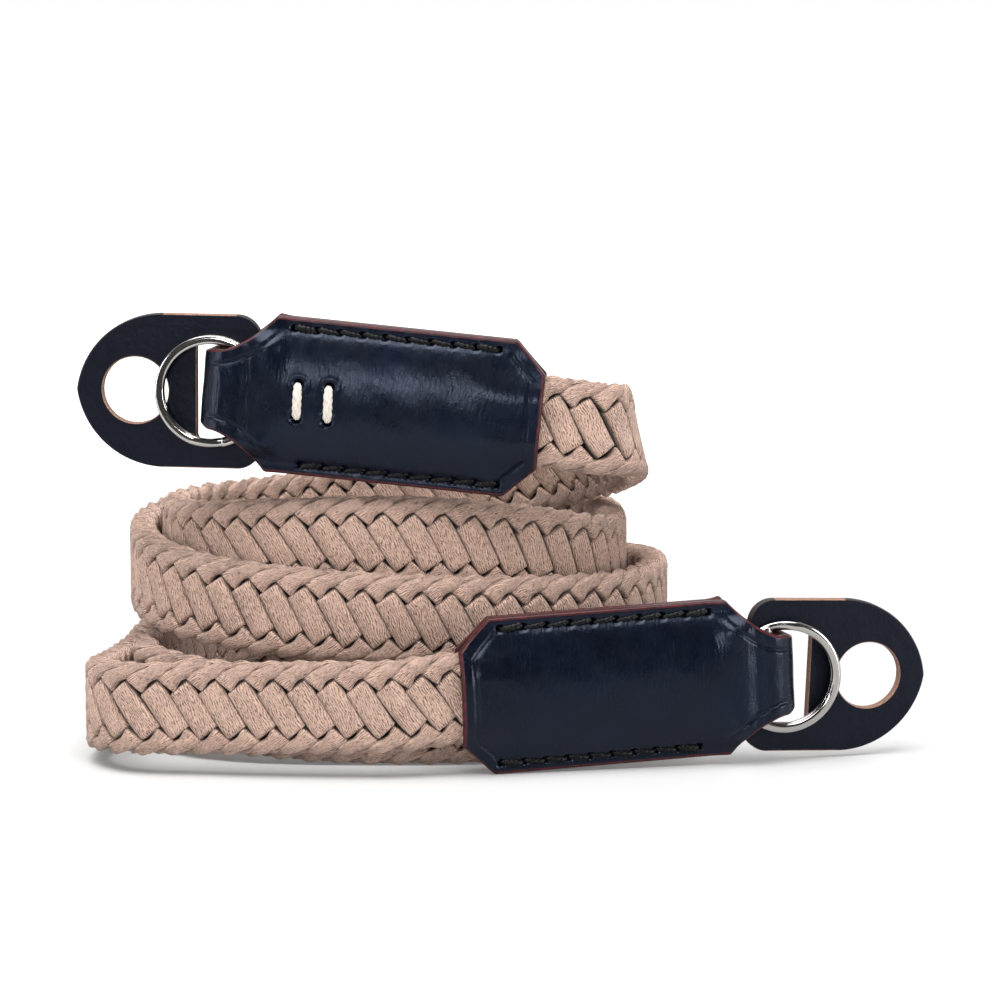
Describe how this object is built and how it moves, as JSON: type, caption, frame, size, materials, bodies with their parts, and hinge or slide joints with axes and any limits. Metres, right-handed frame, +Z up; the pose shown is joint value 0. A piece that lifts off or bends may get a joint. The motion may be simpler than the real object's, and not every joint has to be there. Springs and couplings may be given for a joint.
{
  "type": "coiled camera strap",
  "caption": "Flat braided cotton camera strap coiled on a surface, with a stitched navy leather tab, a steel split ring and a dark leather guard at each end.",
  "frame": {"origin": "On the surface that the coil stands on, below the middle of the whole strap's bounding box", "axes": "+X to the right along the coil's longer side, towards the lower tab's ring; +Y away from the viewer; +Z up"},
  "size_m": [0.1356, 0.0932, 0.0709],
  "materials": {
    "braid": "matt",
    "tab_leather": "satin",
    "guard_leather": "satin",
    "ring_steel": "polished"
  },
  "bodies": {
    "root": {"braided_band": "braid", "upper_end_tab": "tab_leather", "upper_split_ring": "ring_steel", "upper_guard": "guard_leather", "lower_end_tab": "tab_leather", "lower_split_ring": "ring_steel", "lower_guard": "guard_leather"}
  },
  "joints": []
}
